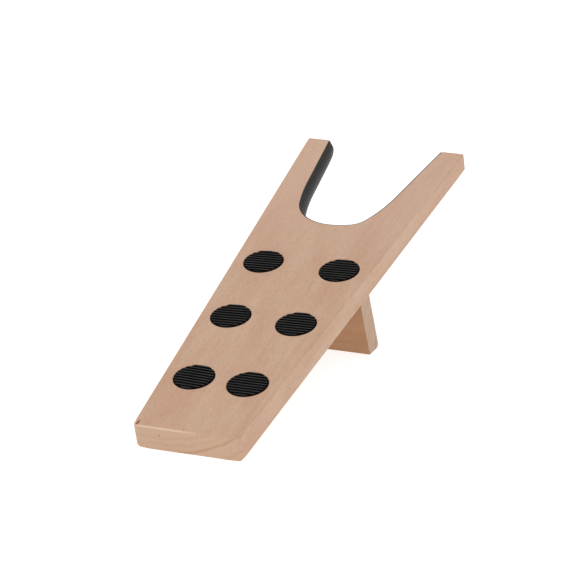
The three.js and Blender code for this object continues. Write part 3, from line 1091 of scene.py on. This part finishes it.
def zinc_steel():
    """Zinc-plated screw steel with fine turning marks and dull patches."""
    shader = Shader("zinc_steel")
    place = shader.place()
    x, y, z = shader.parts(place)
    middle = screw_place(SCREWS[-1])
    from_x = shader.math("SUBTRACT", shader.math("ABSOLUTE", x), middle["x"] / MM)
    from_y = shader.math("SUBTRACT", y, middle["y"] / MM)
    radius = shader.length(shader.joined(from_x, from_y, 0.0))
    marks = shader.noise(shader.scaled(shader.joined(radius, 0.0, z), TURNING_MARKS))
    patches = shader.noise(stretched(shader, place, 1.5, 1.5, 1.5), 3.0, 0.6)
    colour = shader.mix(shader.range(patches, 0.3, 0.7), srgb(206, 205, 198), srgb(172, 170, 162))
    shader.feed(shader.surface.inputs["Base Color"], colour)
    shader.surface.inputs["Metallic"].default_value = 1
    shader.feed(shader.surface.inputs["Roughness"], shader.range(patches, 0.3, 0.7, 0.28, 0.45))
    shader.feed(shader.surface.inputs["Normal"], shader.bump(marks, 0.02 * MM, 0.5))
    return shader.material


# ---- Studio ----


def pale_floor():
    shader = Shader("studio_paper")
    shader.surface.inputs["Base Color"].default_value = (FLOOR_TONE, FLOOR_TONE, FLOOR_TONE, 1)
    shader.surface.inputs["Roughness"].default_value = 0.9
    shader.surface.inputs["Specular IOR Level"].default_value = 0.1
    shader.surface.inputs["Emission Color"].default_value = (1, 1, 1, 1)
    shader.surface.inputs["Emission Strength"].default_value = FLOOR_GLOW
    half = FLOOR_HALF
    corners = [(-half, -half, 0), (half, -half, 0), (half, half, 0), (-half, half, 0)]
    below = Matrix.Translation((0, 0, -FLOOR_DROP))
    floor = new_object("studio_floor", corners, [(0, 1, 2, 3)], below)
    floor.data.materials.append(shader.material)


def soft_light(name, place, size, energy):
    """A square area light aimed at the object."""
    lamp = bpy.data.lights.new(name, "AREA")
    lamp.shape = "SQUARE"
    lamp.size = size
    lamp.energy = energy
    light = bpy.data.objects.new(name, lamp)
    light.location = place
    light.rotation_euler = (-Vector(place)).to_track_quat("-Z", "Y").to_euler()
    bpy.context.scene.collection.objects.link(light)


def studio():
    world = bpy.data.worlds.new("studio")
    world.use_nodes = True
    background = world.node_tree.nodes["Background"]
    background.inputs["Color"].default_value = (1, 1, 1, 1)
    background.inputs["Strength"].default_value = SKY_GLOW
    bpy.context.scene.world = world
    bpy.context.scene.view_settings.view_transform = "Standard"
    soft_light("key_light", place=(-1.4, -1.6, 2.0), size=2.0, energy=17)
    soft_light("right_light", place=(2.4, -0.9, 1.0), size=1.8, energy=1.2)


def camera():
    lens = bpy.data.cameras.new("camera")
    lens.lens = CAMERA_LENS
    lens.sensor_width = 36
    eye = bpy.data.objects.new("camera", lens)
    flat = math.cos(CAMERA_ELEVATION)
    back = Vector((
        math.sin(CAMERA_AZIMUTH) * flat,
        -math.cos(CAMERA_AZIMUTH) * flat,
        math.sin(CAMERA_ELEVATION),
    ))
    aim = (cad_low + cad_high) / 2 + CAMERA_AIM
    look = (-back).to_track_quat("-Z", "Y").to_matrix().to_4x4()
    roll = Matrix.Rotation(-CAMERA_ROLL, 4, "Z")
    eye.matrix_world = Matrix.Translation(aim + back * CAMERA_DISTANCE) @ look @ roll
    bpy.context.scene.collection.objects.link(eye)
    bpy.context.scene.camera = eye


# ---- Assembly ----


def finished(piece, material, node):
    """Fixes a piece in the row frame, gives it its material, hangs it on the root
    and hides the CAD part it stands for.
    """
    piece.data.transform(piece.matrix_world)
    piece.matrix_world = Matrix.Identity(4)
    piece.data.materials.clear()
    piece.data.materials.append(material)
    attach(piece, "root")
    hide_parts(node)


def build():
    board_beech = beech(
        "board_beech", BOARD_TONES, BOARD_PITH, stains=TOE_STAINS, dark_year=DARK_YEAR
    )
    finished(make_board(), board_beech, "board")

    leg_beech = beech("leg_beech", LEG_SHADED_TONES, LEG_PITH, along_x=True)
    finished(make_leg(), leg_beech, "support_leg")

    lining_rubber = rubber("lining_rubber", **LINING_RUBBER)
    finished(make_lining(), lining_rubber, "notch_lining")

    grip_rubber = rubber("grip_rubber", **GRIP_RUBBER)
    for node in GRIPS:
        phase, degrees = GRIP_SETTINGS[node]
        finished(make_grip(node, phase, math.radians(degrees)), grip_rubber, node)

    steel = zinc_steel()
    for node in SCREWS:
        finished(make_screw(node), steel, node)


camera()
studio()
pale_floor()
build()
